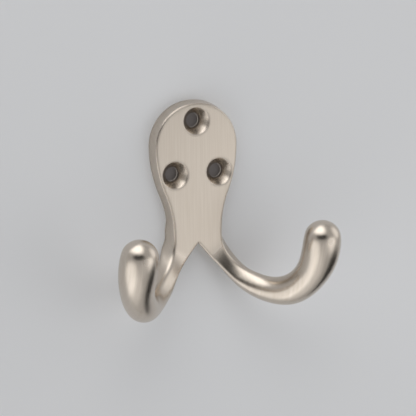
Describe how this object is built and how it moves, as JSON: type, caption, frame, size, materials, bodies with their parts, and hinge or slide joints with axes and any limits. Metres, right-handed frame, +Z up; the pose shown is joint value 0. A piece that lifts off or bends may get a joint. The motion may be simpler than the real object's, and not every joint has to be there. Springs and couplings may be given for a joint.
{
  "type": "double robe hook",
  "caption": "Pear-shaped wall plate with countersunk screw holes whose neck forks into arms that sweep forward and up to rounded knobs, for hanging robes, coats and towels.",
  "frame": {"origin": "on the wall plane, midway between the lower screw holes", "axes": "+Z up, -Y out of the wall towards the viewer, +X to the right as seen from the front"},
  "size_m": [0.0704, 0.0344, 0.0626],
  "materials": {
    "satin_nickel": "satin nickel plate over a zinc casting, brushed on the flat front"
  },
  "bodies": {
    "root": {"robe_hook": "satin_nickel"}
  },
  "joints": []
}
